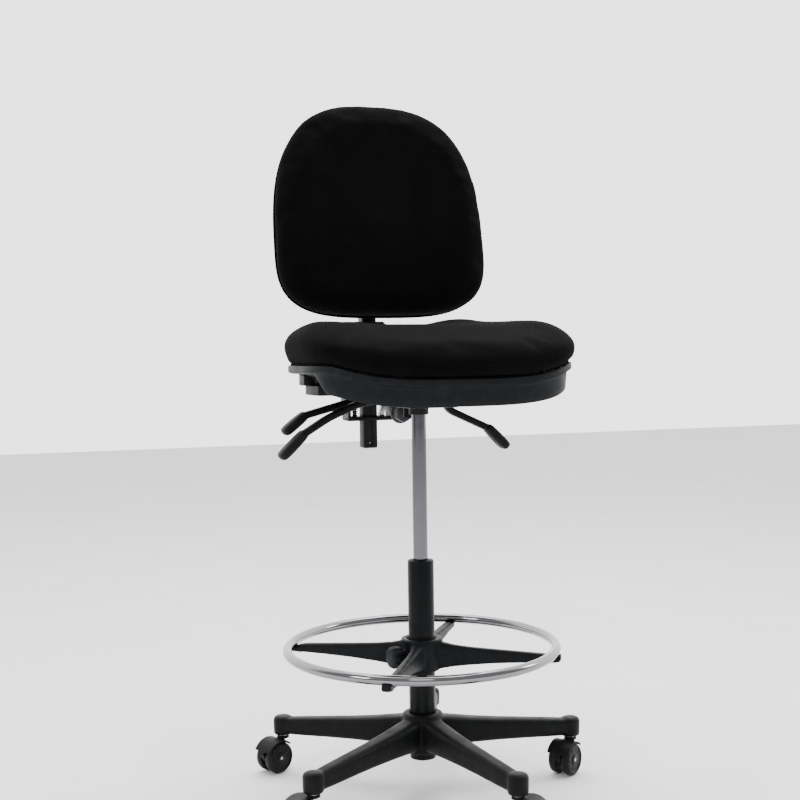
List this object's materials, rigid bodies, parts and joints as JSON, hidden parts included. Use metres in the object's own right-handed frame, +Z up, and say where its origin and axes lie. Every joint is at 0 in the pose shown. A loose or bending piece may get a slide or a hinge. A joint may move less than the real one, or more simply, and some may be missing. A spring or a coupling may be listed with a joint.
{
  "type": "drafting chair",
  "caption": "Swivel drafting chair with gas lift, clamped foot ring, contoured padded seat, height-adjustable padded back, three paddle levers and a star base on castors.",
  "frame": {"origin": "on the floor under the column's axis, the centre of the chair's footprint", "axes": "+Z up, the sitter faces -Y, the sitter's right hand is at -X"},
  "size_m": [0.6314, 0.6741, 1.3505],
  "materials": {
    "base_plastic": "moulded black nylon, fine grain",
    "tube_steel": "satin black powder coat",
    "bush_plastic": "black acetal",
    "zinc_steel": "bright zinc plate",
    "chrome": "polished chrome plate",
    "mechanism_steel": "semi-gloss black powder coat",
    "paddle_plastic": "grained black grip",
    "knob_plastic": "dark grey moulded",
    "pan_plastic": "dark grey-black moulded",
    "hub_plastic": "black glass-filled nylon",
    "board_wood": "bare birch plywood",
    "seat_fabric": "matt black woven upholstery",
    "back_fabric": "matt black woven upholstery",
    "castor_plastic": "black nylon hood",
    "castor_wheel": "black nylon wheel"
  },
  "bodies": {
    "base": {"five_star_base": "base_plastic", "lift_outer_tube": "tube_steel", "lift_guide_bush": "bush_plastic", "lift_thrust_bearing": "zinc_steel"},
    "castor_1_swivel": {"castor_1_housing": "castor_plastic"},
    "castor_1_wheels": {"castor_1_axle": "zinc_steel", "castor_1_wheel_left": "castor_wheel", "castor_1_wheel_right": "castor_wheel"},
    "castor_2_swivel": {"castor_2_housing": "castor_plastic"},
    "castor_2_wheels": {"castor_2_axle": "zinc_steel", "castor_2_wheel_left": "castor_wheel", "castor_2_wheel_right": "castor_wheel"},
    "castor_3_swivel": {"castor_3_housing": "castor_plastic"},
    "castor_3_wheels": {"castor_3_axle": "zinc_steel", "castor_3_wheel_left": "castor_wheel", "castor_3_wheel_right": "castor_wheel"},
    "castor_4_swivel": {"castor_4_housing": "castor_plastic"},
    "castor_4_wheels": {"castor_4_axle": "zinc_steel", "castor_4_wheel_left": "castor_wheel", "castor_4_wheel_right": "castor_wheel"},
    "castor_5_swivel": {"castor_5_housing": "castor_plastic"},
    "castor_5_wheels": {"castor_5_axle": "zinc_steel", "castor_5_wheel_left": "castor_wheel", "castor_5_wheel_right": "castor_wheel"},
    "lift_rod": {"lift_piston_rod": "zinc_steel", "lift_retaining_clip": "zinc_steel"},
    "mechanism": {"lift_gas_cylinder": "chrome", "mechanism_housing": "mechanism_steel", "seat_tilt_shaft": "zinc_steel", "back_tilt_shaft": "zinc_steel", "tension_stud": "mechanism_steel"},
    "release_pin": {"release_pin": "zinc_steel"},
    "lever_gas": {"lever_gas_bar": "mechanism_steel", "lever_gas_paddle": "paddle_plastic"},
    "lever_back_tilt": {"lever_back_tilt_bar": "mechanism_steel", "lever_back_tilt_paddle": "paddle_plastic"},
    "lever_seat_tilt": {"lever_seat_tilt_bar": "mechanism_steel", "lever_seat_tilt_paddle": "paddle_plastic"},
    "tension_knob": {"tension_knob": "knob_plastic"},
    "seat": {"seat_plate": "mechanism_steel", "seat_board": "board_wood", "seat_pan_cover": "pan_plastic", "seat_cushion": "seat_fabric", "seat_bolt_1": "zinc_steel", "seat_bolt_2": "zinc_steel", "seat_bolt_3": "zinc_steel", "seat_bolt_4": "zinc_steel"},
    "back_arm": {"back_carrier": "mechanism_steel", "upright_spring_seat": "zinc_steel", "upright_lock_cam": "zinc_steel"},
    "back": {"back_upright": "mechanism_steel", "upright_cover": "pan_plastic", "back_outer_shell": "pan_plastic", "back_inner_board": "board_wood", "back_cushion": "back_fabric"},
    "footring_slider": {"footring_sleeve": "bush_plastic"},
    "footring": {"footring_hub": "hub_plastic", "footring_ring": "chrome"},
    "footring_knob": {"footring_knob": "knob_plastic"}
  },
  "joints": [
    {"name": "castor_1_swivel", "type": "hinge", "parent": "base", "child": "castor_1_swivel", "pos_m": [0.11914, 0.27533, 0.07], "axis": [0, 0, 1], "continuous": true},
    {"name": "castor_1_roll", "type": "hinge", "parent": "castor_1_swivel", "child": "castor_1_wheels", "pos_m": [0.10009, 0.28633, 0.03], "axis": [-0.5, -0.866, 0], "continuous": true},
    {"name": "castor_2_swivel", "type": "hinge", "parent": "base", "child": "castor_2_swivel", "pos_m": [-0.22503, 0.19839, 0.07], "axis": [0, 0, 1], "continuous": true},
    {"name": "castor_2_roll", "type": "hinge", "parent": "castor_2_swivel", "child": "castor_2_wheels", "pos_m": [-0.24497, 0.1891, 0.03], "axis": [0.4226, -0.9063, 0], "continuous": true},
    {"name": "castor_3_swivel", "type": "hinge", "parent": "base", "child": "castor_3_swivel", "pos_m": [-0.25822, -0.15271, 0.07], "axis": [0, 0, 1], "continuous": true},
    {"name": "castor_3_roll", "type": "hinge", "parent": "castor_3_swivel", "child": "castor_3_wheels", "pos_m": [-0.27989, -0.14889, 0.03], "axis": [-0.1736, -0.9848, 0], "continuous": true},
    {"name": "castor_4_swivel", "type": "hinge", "parent": "base", "child": "castor_4_swivel", "pos_m": [0.06544, -0.29278, 0.07], "axis": [0, 0, 1], "continuous": true},
    {"name": "castor_4_roll", "type": "hinge", "parent": "castor_4_swivel", "child": "castor_4_wheels", "pos_m": [0.08538, -0.30207, 0.03], "axis": [0.4226, 0.9063, 0], "continuous": true},
    {"name": "castor_5_swivel", "type": "hinge", "parent": "base", "child": "castor_5_swivel", "pos_m": [0.29867, -0.02823, 0.07], "axis": [0, 0, 1], "continuous": true},
    {"name": "castor_5_roll", "type": "hinge", "parent": "castor_5_swivel", "child": "castor_5_wheels", "pos_m": [0.28065, -0.04085, 0.03], "axis": [0.5736, -0.8192, 0], "continuous": true},
    {"name": "column_swivel", "type": "hinge", "parent": "base", "child": "lift_rod", "pos_m": [0, 0, 0.06], "axis": [0, 0, 1], "continuous": true},
    {"name": "seat_height", "type": "slide", "parent": "lift_rod", "child": "mechanism", "axis": [0, 0, 1], "range_m": [-0.22, 0]},
    {"name": "valve_pin", "type": "slide", "parent": "mechanism", "child": "release_pin", "axis": [0, 0, 1], "range_m": [-0.0042, 0]},
    {"name": "gas_lever", "type": "hinge", "parent": "mechanism", "child": "lever_gas", "pos_m": [-0.0565, -0.004, 0.742], "axis": [0, 1, 0], "range_deg": [0, 4], "stiffness_Nm_per_rad": 3, "springref_deg": -8.59},
    {"name": "back_tilt_lever", "type": "hinge", "parent": "mechanism", "child": "lever_back_tilt", "pos_m": [-0.0565, 0.034, 0.742], "axis": [0, 1, 0], "range_deg": [0, 8]},
    {"name": "seat_tilt_lever", "type": "hinge", "parent": "mechanism", "child": "lever_seat_tilt", "pos_m": [0.0565, 0.034, 0.742], "axis": [0, -1, 0], "range_deg": [0, 8]},
    {"name": "tension_knob_turn", "type": "hinge", "parent": "mechanism", "child": "tension_knob", "pos_m": [0.004, 0.1, 0.706], "axis": [0, 1, 0], "range_deg": [-720, 720]},
    {"name": "seat_tilt", "type": "hinge", "parent": "mechanism", "child": "seat", "pos_m": [0, -0.045, 0.748], "axis": [-1, 0, 0], "range_deg": [-3, 5]},
    {"name": "back_tilt", "type": "hinge", "parent": "mechanism", "child": "back_arm", "pos_m": [0, 0.065, 0.742], "axis": [-1, 0, 0], "range_deg": [-5, 15]},
    {"name": "back_height", "type": "slide", "parent": "back_arm", "child": "back", "axis": [0, 0, 1], "range_m": [0, 0.07]},
    {"name": "footring_height", "type": "slide", "parent": "base", "child": "footring_slider", "axis": [0, 0, 1], "range_m": [-0.075, 0.06]},
    {"name": "footring_turn", "type": "hinge", "parent": "footring_slider", "child": "footring", "pos_m": [0, 0, 0.25], "axis": [0, 0, 1], "continuous": true},
    {"name": "footring_knob_turn", "type": "hinge", "parent": "footring", "child": "footring_knob", "pos_m": [-0.04908, -0.00954, 0.252], "axis": [-0.9816, -0.1908, 0], "range_deg": [0, 720]}
  ],
  "couplings": [
    {"joint": "valve_pin", "follows": "gas_lever", "m_per_rad": -0.0565}
  ]
}
